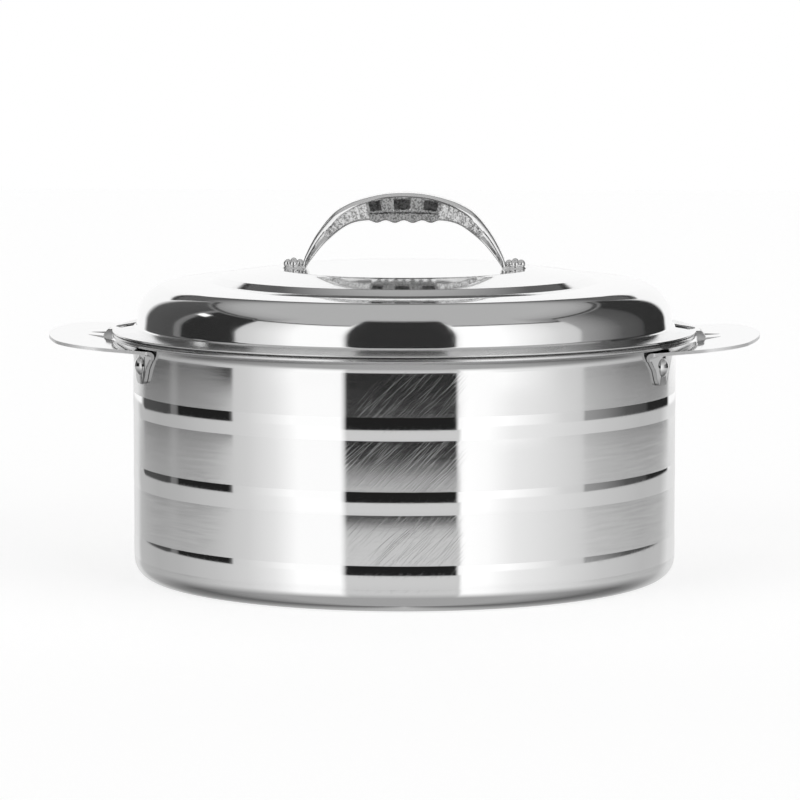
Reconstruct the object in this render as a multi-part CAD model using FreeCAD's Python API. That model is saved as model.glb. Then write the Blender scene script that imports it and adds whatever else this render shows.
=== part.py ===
"""Insulated chapati casserole: a double-walled steel pot with a loose, insulated lid.

Millimetres. The origin is the middle of the base on the table, +Z is up and the side handles
lie along X. Heights named "over the seat" count from seat_height, the plane under the lid's flange.
"""
import FreeCAD, Part
import math
import os

from FreeCAD import Vector

# ---- sheet metal and clearances ----
sheet = 0.8               # thickness of every pressed steel sheet
plate = 1.5               # thickness of the side handles
lid_gap = 0.3             # free height between the pot's rim and the lid's flange
foam_gap = 0.1            # the foam stops this far from the curved walls around it
rivet_gap = 0.05          # radial play of a rivet in its holes
plug_gap = 0.05           # radial play of a plug in its hole
handle_gap = 0.08         # between the body's crests and a handle's leg

# ---- pot ----
seat_height = 113.0       # underside of the lid's flange above the table
body_radius = 124.9       # outer wall, in the valleys between its bands
base_corner = 9.0         # outer radius of the base's edge
foot_ring = 14.9          # width of the flat ring that the pot stands on
foot_rise = 1.2           # the base's middle stands this far off the table
foot_slope = 2.0          # width of the step between that middle and the ring
step_bend = 1.5           # bend radius of that step
neck_corner = 5.0         # concave radius between wall and flange
rim_overhang = 9.2        # from the wall to the outside of the rolled rim
hem_clear = 0.7           # between the neck's curve and the hem's lower leaf
wall_insulation = 12.3
floor_insulation = 10.2
bowl_corner = 12.0        # inside radius between the bowl's floor and wall
mouth_corner = 3.0        # radius of the bowl's mouth

# ---- bands round the body ----
band_height = 10.8
band_pitch = 32.6
lowest_band = 16.1        # middle of the lowest band above the table
band_count = 3
band_crown = 0.10         # how far a band bulges
panel_crown = 0.12        # how far the wall between two bands bulges

# ---- lid cover, from its edge inwards and upwards ----
lid_overhang = 0.4        # beyond the pot's rim
lid_edge = 1.0            # top of the flange at its edge, over the seat
flange_width = 11.1
flange_rise = 1.9
foot_corner = 1.2         # concave radius between flange and wall
wall_draft = 1.4          # the wall leans in this far up to the shoulder
shoulder_height = 18.2    # over the seat, where wall and shoulder slope would meet
shoulder_corner = 16.2    # radius of the shoulder
crest_run = 9.0
crest_rise = 3.9
annulus_width = 25.0      # nearly flat ring inside the crest
annulus_rise = 0.8
riser_run = 3.0           # step up to the cone
riser_height = 3.6
riser_corner = 1.6
cone_rise = 2.1
ring_margin = 2.3         # between the handle's pads and the raised ring
ring_width = 1.8
ring_rise = 0.5           # of the ring over the flat middle
middle_rise = 0.25        # of the middle over the cone's top

# ---- lid liner ----
liner_gap = 2.0           # between the liner and the bowl's wall
liner_depth = 10.0        # the liner's underside below the seat
liner_corner = 6.0

# ---- plugs of the pouring holes ----
plug_radius = 10.0
plug_lip = 3.0            # the plug's flange reaches this far past the hole
plug_flange = 0.8
plug_depth = 2.0

# ---- side handles ----
handle_out = 29.5         # from the rim to the handle's outermost point
handle_bow = 145.0        # radius of the outer edge
side_margin = 2.7         # between a leg's outer side and the plate's side
shoulder_width = 21.0     # from the end of the bow to the plate's side
shoulder_round = 26.0
handle_tilt = 4.86        # degrees, rising outwards
handle_drop = 2.37        # plate's middle below the shell's flange, at the leg
inner_bend = 2.0          # inside radius of the bend to a leg
leg_azimuth = 21.0        # degrees either side of X
leg_half_width = 15.5
leg_foot_half_width = 7.6
leg_length = 16.2         # below the plate's middle
leg_round = 7.5
taper_round = 2.0         # where the leg's sides start to taper
bend_margin = 0.4         # between the bend and where the leg starts to taper
slot_lead = 2.9           # the opening's straight side starts this far out from a leg
grip_width = 17.2         # of the plate outside the opening
slot_round = 0.8
tongue_half_width = 6.0
tongue_thick = 1.05       # of the strip over the rim
step_gap = 0.5            # between the rim and the tongue's step
step_depth = 4.0          # length of the step along X
step_corner = 0.2         # of the step's inside edges, by the rim
tongue_corner = 0.4       # of its outside edges
strip_corner = 1.2        # where the strip turns down into the step
notch_gap = 3.0           # either side of the tongue
notch_end_gap = 1.0       # between the tongue's tip and the notch

# ---- rivets and washers ----
side_head_radius = 4.25
side_head_height = 2.2
side_rivet_rise = 8.1     # above a leg's lower end
shank_radius = 2.0
washer_radius = 6.0
washer_thick = 1.0
tail_radius = 3.4
tail_height = 1.4

# ---- lid handle: x inwards from a rivet's axis, z over the lid's middle ----
grip_depth = 16.0         # across the arch at its middle
foot_depth = 12.4         # across the arch at its feet
depth_loss = 0.2          # each long side is this far in, halfway between middle and rivet
rivet_spacing = 102.0     # between the two lid rivets
pad_thick = 2.1
pad_inner = 5.8           # inner end of a pad
head_gap = 0.15           # between a rosette and the arch's foot
arch_outside = [(5.1, 4.65), (9.9, 14.65), (17.7, 25.65), (31.5, 32.55)]
arch_top = 34.85
arch_inside = [(7.4, 2.95), (15.8, 13.25), (22.3, 19.45)]
grip_lead = 6.0           # from the last finger bump to the start of the arm's curve
grip_lead_rise = 0.4
bump_count = 4
bump_pitch = 8.3
bump_root = 22.35         # height between two finger bumps
bump_depth = 1.5
arch_round = 2.0          # rounding of the grip's long edges
lid_head_radius = 4.35
lid_head_height = 2.8
petal_count = 8
petal_groove = 0.5        # radius of the grooves between a rosette's petals
petal_eye = 1.6           # the grooves start this far from the middle
petal_sink = 0.2          # and their centre lines this far below the top
petal_fall = 0.45         # and they slope down this much per mm outwards

spare = 30.0              # how far the blocks that cut or are cut reach past the part
leg_overcut = 6.0         # and the outlines at a leg past its inner face

# ---- derived: pot ----
rim_top = seat_height - lid_gap
rim_radius = body_radius + rim_overhang
hem_return = rim_overhang - neck_corner - hem_clear
hem_round = 1.5 * sheet
foot_inner = body_radius - base_corner - foot_ring
bowl_radius = body_radius - wall_insulation - 2 * sheet
bowl_floor = foot_rise + floor_insulation + 2 * sheet

# ---- derived: lid ----
lid_radius = rim_radius + lid_overhang
wall_foot_radius = lid_radius - flange_width
shoulder_radius = wall_foot_radius - wall_draft
crest_radius = shoulder_radius - crest_run
riser_foot_radius = crest_radius - annulus_width
riser_top_radius = riser_foot_radius - riser_run
ring_radius = (rivet_spacing + foot_depth) / 2 + ring_margin
crest_height = seat_height + shoulder_height + crest_rise
riser_foot_height = crest_height + annulus_rise
riser_top_height = riser_foot_height + riser_height
ring_foot_height = riser_top_height + cone_rise
middle_top = ring_foot_height + middle_rise
flange_slope = flange_rise / flange_width
liner_radius = bowl_radius - liner_gap
flange_underside = lid_edge - sheet * math.hypot(1, flange_slope)   # at the edge, over the seat
liner_flange = lid_radius - (sheet - flange_underside) / flange_slope

# ---- derived: side handles, heights over the seat ----
wall_radius = body_radius + max(band_crown, panel_crown)
leg_radius = wall_radius + handle_gap
handle_reach = rim_radius + handle_out
tilt_height = -lid_gap - 2 * sheet - handle_drop
tilt_slope = math.tan(math.radians(handle_tilt))
leg_cos, leg_sin = math.cos(math.radians(leg_azimuth)), math.sin(math.radians(leg_azimuth))
leg_side_x = leg_radius * leg_cos - leg_half_width * leg_sin
bend_bottom = tilt_height - (leg_radius - leg_side_x) * tilt_slope - plate / 2 - inner_bend
leg_bottom = tilt_height - leg_length
side_rivet_height = leg_bottom + side_rivet_rise
step_inside = rim_radius + step_gap
step_bottom = tilt_height + (step_inside - leg_radius) * tilt_slope - plate / 2
notch_start = wall_foot_radius + foot_corner
tongue_tip = notch_start + notch_end_gap

Z_AXIS = Vector(0, 0, 1)


# ---- outlines: lists of (start, middle or None, end) in a plane ----
def path(corners, offset=0.0):
    """Line and arc pieces through corners of (x, z, radius), moved to the left by offset."""
    directions = []
    for (x0, z0, _), (x1, z1, _) in zip(corners, corners[1:]):
        length = math.hypot(x1 - x0, z1 - z0)
        directions.append(((x1 - x0) / length, (z1 - z0) / length))
    pieces = []
    here = shifted(corners[0], directions[0], offset)
    for (x, z, radius), before, after in zip(corners[1:-1], directions, directions[1:]):
        turn = math.asin(before[0] * after[1] - before[1] * after[0])
        if before[0] * after[0] + before[1] * after[1] < 0:
            turn = math.copysign(math.pi, turn) - turn
        side = math.copysign(1.0, turn)
        half = math.tan(turn / 2)
        start = shifted((x, z), before, offset)
        vertex = (start[0] - before[0] * offset * half, start[1] - before[1] * offset * half)
        bend = max(radius - side * offset, 0.0) if radius else 0.0
        reach = bend * abs(half)
        first = (vertex[0] - before[0] * reach, vertex[1] - before[1] * reach)
        last = (vertex[0] + after[0] * reach, vertex[1] + after[1] * reach)
        pieces.append((here, None, first))
        if bend:
            centre = shifted(first, before, side * bend)
            out = math.hypot(vertex[0] - centre[0], vertex[1] - centre[1]) / bend
            middle = tuple(c + (v - c) / out for c, v in zip(centre, vertex))
            pieces.append((first, middle, last))
        here = last
    pieces.append((here, None, shifted(corners[-1], directions[-1], offset)))
    return pieces


def shifted(point, direction, distance):
    """The point moved to the left of the direction."""
    return (point[0] - direction[1] * distance, point[1] + direction[0] * distance)


def backwards(pieces):
    return [(end, middle, start) for start, middle, end in reversed(pieces)]


def ring_path(corners):
    """A closed path through corners of (x, y, radius)."""
    return path([corners[-1]] + corners + [corners[0]])[1:-1]


def face(pieces, place=lambda x, z: Vector(x, 0, z)):
    """A flat face inside the pieces; straight links join those that don't meet."""
    edges = []
    for (start, middle, end), following in zip(pieces, pieces[1:] + pieces[:1]):
        if math.dist(start, end) > 1e-6:
            if middle is None:
                edges.append(Part.LineSegment(place(*start), place(*end)).toShape())
            else:
                edges.append(Part.Arc(place(*start), place(*middle), place(*end)).toShape())
        if math.dist(end, following[0]) > 1e-6:
            edges.append(Part.LineSegment(place(*end), place(*following[0])).toShape())
    return Part.Face(Part.Wire(edges))


def turned(pieces):
    """The solid made by turning an (x, z) section about the pot's axis."""
    return face(pieces).revolve(Vector(0, 0, 0), Z_AXIS, 360)


def sheet_section(corners, side):
    """Section of a bent sheet, its second surface on the left (1) or the right (-1)."""
    return path(corners) + backwards(path(corners, side * sheet))


def plan(x, y):
    return Vector(x, y, 0)


def polar(radius, azimuth, height):
    angle = math.radians(azimuth)
    return Vector(radius * math.cos(angle), radius * math.sin(angle), height)


def rod(radius, length, start, direction):
    return Part.makeCylinder(radius, length, start, direction)


# ---- centre lines of the sheets, as corners of (radius, height, bend) ----
def shell_base():
    """Outer surface of the shell from its pouring hole to the start of the wall."""
    return [
        (plug_radius + plug_gap, foot_rise, 0),
        (foot_inner - foot_slope, foot_rise, step_bend),
        (foot_inner, 0, step_bend),
        (body_radius, 0, base_corner),
        (body_radius, base_corner + sheet, 0),
    ]


def shell_neck():
    """Outer surface of the shell from the end of the wall to the edge of its flange."""
    flange_bottom = rim_top - 2 * sheet
    return [
        (body_radius, flange_bottom - neck_corner - sheet, 0),
        (body_radius, flange_bottom, neck_corner),
        (rim_radius - hem_round, flange_bottom, 0),
    ]


def shell_line():
    """Outer surface of the whole shell, without the bulge of its bands."""
    return shell_base()[:-1] + shell_neck()[1:]


def bowl_line():
    """Inner surface of the bowl, over its mouth and round the hem."""
    return [
        (0, bowl_floor, 0),
        (bowl_radius, bowl_floor, bowl_corner),
        (bowl_radius, rim_top, mouth_corner),
        (rim_radius, rim_top, hem_round),
        (rim_radius, rim_top - 2 * hem_round, hem_round),
        (rim_radius - hem_return, rim_top - 2 * hem_round, 0),
    ]


def cover_line():
    """Top surface of the lid's cover."""
    inner_ring = (ring_radius - ring_width / 2, middle_top, sheet)
    outer_ring = (ring_radius + ring_width / 2, ring_foot_height, sheet)
    return [
        (0, middle_top, 0),
        inner_ring,
        (ring_radius, middle_top + ring_rise, sheet + foam_gap),
        outer_ring,
        (riser_top_radius, riser_top_height, riser_corner),
        (riser_foot_radius, riser_foot_height, riser_corner),
        (crest_radius, crest_height, sheet + foam_gap),
        (shoulder_radius, seat_height + shoulder_height, shoulder_corner),
        (wall_foot_radius, seat_height + lid_edge + flange_rise, foot_corner),
        (lid_radius, seat_height + lid_edge, 0),
    ]


def liner_line():
    """Underside of the lid's liner."""
    bottom = seat_height - liner_depth
    return [
        (plug_radius + plug_gap, bottom, 0),
        (liner_radius, bottom, liner_corner),
        (liner_radius, seat_height, mouth_corner),
        (liner_flange, seat_height, 0),
    ]


# ---- pot ----
def crowned_wall():
    """Outer surface of the wall: straight ends, and arcs that bulge at bands and panels."""
    start = base_corner + sheet
    end = rim_top - 2 * sheet - neck_corner - sheet
    edges = []
    for band in range(band_count):
        middle = lowest_band + band * band_pitch
        edges += [middle - band_height / 2, middle + band_height / 2]
    pieces = [((body_radius, start), None, (body_radius, edges[0]))]
    for number, (low, high) in enumerate(zip(edges, edges[1:] + [end])):
        crown = panel_crown if number % 2 else band_crown
        pieces.append(((body_radius, low), (body_radius + crown, (low + high) / 2), (body_radius, high)))
    return pieces


def outer_shell():
    outside = path(shell_base()) + crowned_wall() + path(shell_neck())
    shell = turned(outside + backwards(path(shell_line(), sheet)))
    return shell.cut(side_rivet_holes(leg_radius + plate))


def inner_bowl():
    return turned(sheet_section(bowl_line(), -1))


def body_foam():
    """Foam between shell and bowl; it is bonded to the two flat floors."""
    reach = sheet + foam_gap
    flange = rim_top - sheet - foam_gap
    end = body_radius + neck_corner + foam_gap
    outside = path(shell_line()[:-1] + [(end, shell_line()[-1][1], 0)], reach)
    inside = path(bowl_line()[:3] + [(end, rim_top, 0)], -reach)
    start = (plug_radius + plug_gap + foam_gap, foot_rise + reach)
    inside[0] = ((start[0], inside[0][0][1]), None, inside[0][2])
    outside[0] = (start, None, outside[0][2])
    outside[-1] = (outside[-1][0], None, (end, flange))
    inside[-1] = (inside[-1][0], None, (end, flange))
    foam = turned(outside + backwards(inside))
    low = ring(start[0], foot_inner - 2 * foot_slope - step_bend, foot_rise + sheet, foot_rise + 2 * reach)
    high = ring(start[0], bowl_radius - bowl_corner, bowl_floor - 2 * reach, bowl_floor - sheet)
    foam = foam.fuse([low, high]).removeSplitter()
    return foam.cut(side_rivet_pockets())


def ring(inside, outside, bottom, top):
    return face([((inside, bottom), None, (outside, bottom)),
                 ((outside, top), None, (inside, top))]).revolve(Vector(0, 0, 0), Z_AXIS, 360)


def plug(underside):
    """Flanged plug pushed up into a pouring hole whose sheet's underside is given."""
    flange = rod(plug_radius + plug_lip, plug_flange, Vector(0, 0, underside - plug_flange), Z_AXIS)
    return flange.fuse(rod(plug_radius, plug_depth, Vector(0, 0, underside), Z_AXIS))


# ---- side handles ----
def tilted(solid):
    """The solid turned with the plate's slope about the line over the legs' inner face."""
    hinge = Vector(leg_radius, 0, seat_height + tilt_height)
    solid.rotate(hinge, Vector(0, 1, 0), -handle_tilt)
    return solid


def handle_blank():
    """Sloping plate with a hole round the body, and the tube that its legs are cut from."""
    middle = seat_height + tilt_height
    bottom = seat_height + leg_bottom - spare
    start = leg_side_x - spare / 2
    length = handle_reach + spare - start
    width = 2 * (leg_radius * leg_sin + spare)
    corner = Vector(start, -width / 2, middle - plate / 2)
    slab = tilted(Part.makeBox(length, width, plate, corner))
    depth = leg_length + 2 * spare
    below = tilted(Part.makeBox(length, width, depth, Vector(start, -width / 2, middle - depth)))
    tube = rod(leg_radius + plate, leg_length + 2 * spare, Vector(0, 0, bottom), Z_AXIS)
    hole = rod(leg_radius, leg_length + 4 * spare, Vector(0, 0, bottom - spare), Z_AXIS)
    blank = slab.fuse(tube.common(below)).cut(hole).removeSplitter()
    blank = blank.makeFillet(inner_bend + plate, bend_edges(blank, leg_radius, plate / 2))
    return blank.makeFillet(inner_bend, bend_edges(blank, leg_radius + plate, -plate / 2))


def bend_edges(blank, radius, level):
    """Edges where the tube of the given radius meets the plate's face at the given level."""
    slope = math.radians(handle_tilt)
    found = []
    for edge in blank.Edges:
        point = edge.valueAt((edge.FirstParameter + edge.LastParameter) / 2)
        height = point.z - seat_height - tilt_height
        over_plate = height * math.cos(slope) - (point.x - leg_radius) * math.sin(slope)
        if abs(math.hypot(point.x, point.y) - radius) < 0.01 and abs(over_plate - level) < 0.01:
            found.append(edge)
    return found


def handle_outline():
    """The plate from above, with its opening between the legs and the tongue in it."""
    bow_centre = handle_reach - handle_bow
    leg = polar(leg_radius, leg_azimuth, 0)
    out, across = polar(1, leg_azimuth, 0), polar(leg_half_width, leg_azimuth + 90, 0)
    outer_foot, inner_foot = leg + across - out * leg_overcut, leg - across - out * leg_overcut
    side = (leg + across).y + side_margin
    bow_end = math.asin((side - shoulder_width) / handle_bow)
    shoulder = bow_centre + (handle_bow - side * math.sin(bow_end)) / math.cos(bow_end)
    slot_corner = leg - across + out * slot_lead
    upper = [
        (shoulder, side, shoulder_round),
        ((leg + across).x + side_margin, side, side_margin),
        (outer_foot.x, outer_foot.y, 0),
        (inner_foot.x, inner_foot.y, 0),
        (slot_corner.x, slot_corner.y, slot_round),
        (handle_reach - grip_width, tongue_half_width, slot_round),
        (step_inside + step_depth / 2, tongue_half_width, 0),
    ]
    lower = [(x, -y, radius) for x, y, radius in reversed(upper)]
    return ring_path([(bow_centre + handle_bow / math.cos(bow_end), 0, handle_bow)] + upper + lower)


def leg_prism(azimuth):
    """Everything in line with one leg, seen along the pot's radius."""
    top = tilt_height + plate
    right = [(leg_half_width, top, 0), (leg_half_width, bend_bottom - bend_margin, taper_round),
             (leg_foot_half_width, leg_bottom, leg_round)]
    left = [(-x, z, radius) for x, z, radius in reversed(right)]
    left[-1] = (-leg_half_width, top, 0)
    centre = polar(leg_radius - leg_overcut, azimuth, seat_height)
    across = polar(1, azimuth + 90, 0)
    outline = face(path(right + left), lambda x, z: centre + across * x + Z_AXIS * z)
    return outline.extrude(polar(2 * leg_overcut, azimuth, 0))


def tongue():
    """The tongue's step up the outside of the rim and its strip over the rim."""
    outer = step_inside + step_depth
    low, top = seat_height + step_bottom, rim_top + tongue_thick
    side = ring_path([
        (tongue_tip, rim_top, 0),
        (step_inside, rim_top, step_corner),
        (step_inside, low, step_corner),
        (outer, low, tongue_corner),
        (outer, low + 1.5 * plate, tongue_corner),
        (outer - step_depth / 2, top, strip_corner),
        (tongue_tip, top, tongue_corner),
    ])
    width = 2 * tongue_half_width
    return face(side, lambda x, z: Vector(x, -tongue_half_width, z)).extrude(Vector(0, width, 0))


def side_handle():
    """The handle on the +X side."""
    blank = handle_blank()
    from_above = face(handle_outline(), plan).extrude(Vector(0, 0, 2 * spare))
    from_above.translate(Vector(0, 0, seat_height + bend_bottom - bend_margin))
    handle = blank.common(from_above)
    for side in (-1, 1):
        handle = handle.fuse(blank.common(leg_prism(side * leg_azimuth)))
    handle = handle.fuse(tongue()).removeSplitter()
    return handle.cut(side_rivet_holes(leg_radius + 2 * plate))


# ---- side rivets: centre line along the radius at each leg ----
def side_rivet_azimuths():
    return [handle + side * leg_azimuth for handle in (0, 180) for side in (-1, 1)]


def washer_face():
    """Distance from the axis to a washer that lies flat on the shell's inside."""
    return math.sqrt((body_radius - sheet) ** 2 - washer_radius ** 2)


def side_rivet_holes(reach):
    """Rods that drill every side rivet's hole from inside the shell out to reach."""
    start = body_radius - 3 * sheet
    height = seat_height + side_rivet_height
    rods = [rod(shank_radius + rivet_gap, reach - start, polar(start, azimuth, height), polar(1, azimuth, 0))
            for azimuth in side_rivet_azimuths()]
    return rods[0].fuse(rods[1:])


def side_rivet_pockets():
    """Room in the foam for the washers and the rivets' tails."""
    height = seat_height + side_rivet_height
    start = washer_face() - washer_thick - tail_height - foam_gap
    length = body_radius - start
    rods = [rod(washer_radius + foam_gap, length, polar(start, azimuth, height), polar(1, azimuth, 0))
            for azimuth in side_rivet_azimuths()]
    return rods[0].fuse(rods[1:])


def dome(radius, height):
    """Rivet head on the plane z = 0."""
    sphere_radius = (radius ** 2 + height ** 2) / (2 * height)
    ball = Part.makeSphere(sphere_radius, Vector(0, 0, height - sphere_radius))
    return ball.common(rod(spare, spare, Vector(0, 0, 0), Z_AXIS))


def rivet(head, grip):
    """Rivet with its head above z = 0 and its tail under the grip's far end."""
    shank = rod(shank_radius, grip + tail_height, Vector(0, 0, -grip - tail_height), Z_AXIS)
    tail = rod(tail_radius, tail_height, Vector(0, 0, -grip - tail_height), Z_AXIS)
    return head.fuse([shank, tail]).removeSplitter()


def washer():
    """Washer whose top is on z = 0."""
    disc = rod(washer_radius, washer_thick, Vector(0, 0, -washer_thick), Z_AXIS)
    return disc.cut(rod(shank_radius + rivet_gap, 3 * washer_thick, Vector(0, 0, -2 * washer_thick), Z_AXIS))


def set_out(solid, radius, azimuth):
    """The solid with its +Z turned outwards, at a side rivet's place."""
    placed = solid.copy()
    placed.rotate(Vector(0, 0, 0), Vector(0, 1, 0), 90)
    placed.rotate(Vector(0, 0, 0), Z_AXIS, azimuth)
    placed.translate(polar(radius, azimuth, seat_height + side_rivet_height))
    return placed


def side_rivets(handle):
    """The two rivets of the handle at the given azimuth."""
    seat = leg_radius + plate
    grip = seat - washer_face() + washer_thick
    head = dome(side_head_radius, side_head_height)
    one = rivet(head, grip)
    return Part.Compound([set_out(one, seat, handle + side * leg_azimuth) for side in (-1, 1)])


def side_washers(handle):
    one = washer()
    return Part.Compound([set_out(one, washer_face(), handle + side * leg_azimuth) for side in (-1, 1)])


# ---- lid ----
def notches():
    """Blocks that cut the flange free of both tongues."""
    half = tongue_half_width + notch_gap
    blocks = []
    for side in (-1, 1):
        end = lid_radius + spare
        corners = [(side * notch_start, half, notch_gap / 2), (side * notch_start, -half, notch_gap / 2),
                   (side * end, -half, 0), (side * end, half, 0)]
        block = face(ring_path(corners), plan).extrude(Vector(0, 0, 2 * spare))
        block.translate(Vector(0, 0, seat_height - spare))
        blocks.append(block)
    return blocks


def lid_rivet_rods(radius, bottom, top):
    """Rods on both lid rivets' axes between two heights."""
    return [rod(radius, top - bottom, Vector(side * rivet_spacing / 2, 0, bottom), Z_AXIS) for side in (-1, 1)]


def lid_shell():
    cover = turned(sheet_section(cover_line(), -1))
    holes = lid_rivet_rods(shank_radius + rivet_gap, middle_top - 2 * sheet, middle_top + sheet)
    return cover.cut(notches() + holes)


def lid_liner():
    return turned(sheet_section(liner_line(), 1)).cut(notches())


def lid_foam():
    """Foam between cover and liner; it is bonded to the liner's floor and the cover's middle."""
    reach = sheet + foam_gap
    start = plug_radius + plug_gap + foam_gap
    edge = wall_foot_radius - 2 * reach
    top = path(cover_line(), -reach)[:-2]
    top[0] = ((start, top[0][0][1]), None, top[0][2])
    bottom = path(liner_line()[:-1] + [(edge, seat_height, 0)], reach)
    bottom[0] = ((start, bottom[0][0][1]), None, bottom[0][2])
    top[-1] = (top[-1][0], None, (edge, seat_height + lid_edge + flange_rise))
    foam = turned(bottom + backwards(top))
    floor = seat_height - liner_depth + sheet
    low = ring(start, liner_radius - liner_corner - sheet, floor, floor + 2 * foam_gap)
    ceiling = middle_top - sheet
    high = ring(start, ring_radius - 2 * ring_width, ceiling - 2 * foam_gap, ceiling)
    foam = foam.fuse([low, high]).removeSplitter()
    pocket = washer_thick + tail_height + foam_gap
    return foam.cut(lid_rivet_rods(washer_radius + foam_gap, ceiling - pocket, ceiling + sheet))


def spline(points, ends=None):
    """Smooth curve through points, running along the two directions in ends if they are given."""
    curve = Part.BSplineCurve()
    if ends:
        curve.interpolate(Points=points, InitialTangent=ends[0], FinalTangent=ends[1])
    else:
        curve.interpolate(points)
    return curve.toShape()


def upright(points):
    """Places for (x, z) with z over the lid's middle."""
    return [Vector(x, 0, middle_top + z) for x, z in points]


def mirrored(points):
    return [(-x, z) for x, z in reversed(points)]


def straight(points):
    return [Part.LineSegment(start, end).toShape() for start, end in zip(points, points[1:])]


def arch_side():
    """The arch and its pads seen from the front."""
    rivet_x = rivet_spacing / 2
    pad_end = rivet_x + foot_depth / 2
    bumps = bump_count * bump_pitch / 2
    outer = [(rivet_x - x, z) for x, z in [(lid_head_radius + head_gap, pad_thick)] + arch_outside]
    inner = [(rivet_x - x, z) for x, z in [(pad_inner, 0)] + arch_inside]
    inner += [(bumps + grip_lead, bump_root + grip_lead_rise), (bumps, bump_root)]
    pad = [inner[0], (pad_end, 0), (pad_end, pad_thick), outer[0]]
    outline = [spline(upright(outer + [(0, arch_top)] + mirrored(outer)))]
    outline += straight(upright(mirrored(pad)))
    outline.append(spline(upright([(-x, z) for x, z in inner])))
    for number in range(bump_count):
        start = -bumps + number * bump_pitch
        middle, end = start + bump_pitch / 2, start + bump_pitch
        points = [(start, bump_root), (middle, bump_root - bump_depth), (end, bump_root)]
        outline.append(Part.Arc(*upright(points)).toShape())
    outline.append(spline(upright(reversed(inner))))
    outline += straight(upright(pad))
    return Part.Face(Part.Wire(outline))


def arch_plan():
    """The arch and its pads seen from above."""
    centre, half, foot = rivet_spacing / 2, grip_depth / 2, foot_depth / 2
    edges = []
    for side in (1, -1):
        along = Vector(side, 0, 0)
        halfway = half - depth_loss
        points = [(-centre, -foot), (-centre / 2, -halfway), (0, -half), (centre / 2, -halfway), (centre, -foot)]
        edges.append(spline([Vector(side * x, side * y, 0) for x, y in points], (along, along)))
        end = [(centre, -foot), (centre + foot, 0), (centre, foot)]
        edges.append(Part.Arc(*[Vector(side * x, side * y, 0) for x, y in end]).toShape())
    return Part.Face(Part.Wire(edges))


def lid_handle():
    block = arch_side().extrude(Vector(0, 2 * grip_depth, 0))
    block.translate(Vector(0, -grip_depth, 0))
    columns = arch_plan().extrude(Vector(0, 0, arch_top + 2 * spare))
    columns.translate(Vector(0, 0, middle_top - spare))
    arch = block.common(columns)
    back_edges = [edge for edge in arch.Edges if edge.BoundBox.ZMax > middle_top + arch_top - arch_round / 2]
    arch = arch.makeFillet(arch_round, back_edges)
    return arch.cut(lid_rivet_rods(shank_radius + rivet_gap, middle_top - sheet, middle_top + 2 * pad_thick))


def rosette():
    """Rivet head like a flower: a dome with grooves between its petals."""
    head = dome(lid_head_radius, lid_head_height)
    grooves = []
    for petal in range(petal_count):
        start = polar(petal_eye, 0, lid_head_height - petal_sink)
        groove = rod(petal_groove, lid_head_radius, start, polar(1, 0, -petal_fall))
        groove.rotate(Vector(0, 0, 0), Z_AXIS, petal * 360 / petal_count)
        grooves.append(groove)
    return head.cut(grooves)


def lid_rivets():
    grip = pad_thick + sheet + washer_thick
    rivets = []
    for side in (-1, 1):
        one = rivet(rosette(), grip)
        one.translate(Vector(side * rivet_spacing / 2, 0, middle_top + pad_thick))
        rivets.append(one)
    return Part.Compound(rivets)


def lid_washers():
    washers = []
    for side in (-1, 1):
        one = washer()
        one.translate(Vector(side * rivet_spacing / 2, 0, middle_top - sheet))
        washers.append(one)
    return Part.Compound(washers)


def half_turn(solid):
    other = solid.copy()
    other.rotate(Vector(0, 0, 0), Z_AXIS, 180)
    return other


right_handle = side_handle()
nodes = {
    "outer_shell": outer_shell(),
    "inner_bowl": inner_bowl(),
    "body_foam": body_foam(),
    "base_plug": plug(foot_rise),
    "side_handle_right": right_handle,
    "side_handle_left": half_turn(right_handle),
    "side_rivets_right": side_rivets(0),
    "side_rivets_left": side_rivets(180),
    "side_washers_right": side_washers(0),
    "side_washers_left": side_washers(180),
    "lid_shell": lid_shell(),
    "lid_liner": lid_liner(),
    "lid_foam": lid_foam(),
    "lid_plug": plug(seat_height - liner_depth),
    "lid_handle": lid_handle(),
    "lid_rivets": lid_rivets(),
    "lid_washers": lid_washers(),
}

os.makedirs("parts", exist_ok=True)
for name, shape in nodes.items():
    shape.exportStep("parts/" + name + ".step")
    print(name, "solids", len(shape.Solids), "valid", shape.isValid(), "volume", round(shape.Volume, 1))
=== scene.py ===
"""Insulated chapati casserole: the looks of the steel pot, its loose lid and their handles.

Lengths are millimetres, as on a drawing, and angles are degrees; meshes are made in metres.
Heights count from the table, unless a comment says otherwise. The corners of a profile are
(distance from the axis, height, rounding).
"""

import math

import bmesh
import bpy
from mathutils import Matrix, Vector


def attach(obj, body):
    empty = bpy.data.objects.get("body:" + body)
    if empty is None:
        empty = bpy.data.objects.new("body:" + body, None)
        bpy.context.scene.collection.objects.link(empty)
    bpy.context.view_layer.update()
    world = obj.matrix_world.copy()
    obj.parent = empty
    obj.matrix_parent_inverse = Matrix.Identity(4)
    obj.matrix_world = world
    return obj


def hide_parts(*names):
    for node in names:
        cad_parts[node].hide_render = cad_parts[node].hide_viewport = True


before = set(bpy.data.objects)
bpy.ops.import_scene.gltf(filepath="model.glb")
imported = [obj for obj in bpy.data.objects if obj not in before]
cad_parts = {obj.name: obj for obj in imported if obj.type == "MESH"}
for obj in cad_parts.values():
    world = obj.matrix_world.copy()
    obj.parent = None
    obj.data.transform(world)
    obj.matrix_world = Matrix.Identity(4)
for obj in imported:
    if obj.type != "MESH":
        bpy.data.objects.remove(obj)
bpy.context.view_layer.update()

MM = 0.001                # metres
MICRON = 1e-6
SHEET = 0.8               # thickness of the pressed steel
CUT_EDGE = 0.25           # rounding of a cut sheet edge
POT_STEPS = 256           # facets round the pot and the lid
FOAM_STEPS = 96           # and round the lid's foam
BEND_SEGMENTS = 5         # segments of a rounding for each radian that it turns
BEND_STEP = 0.7           # or one for this much of its length, if that is more
MOST_SEGMENTS = 24
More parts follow.
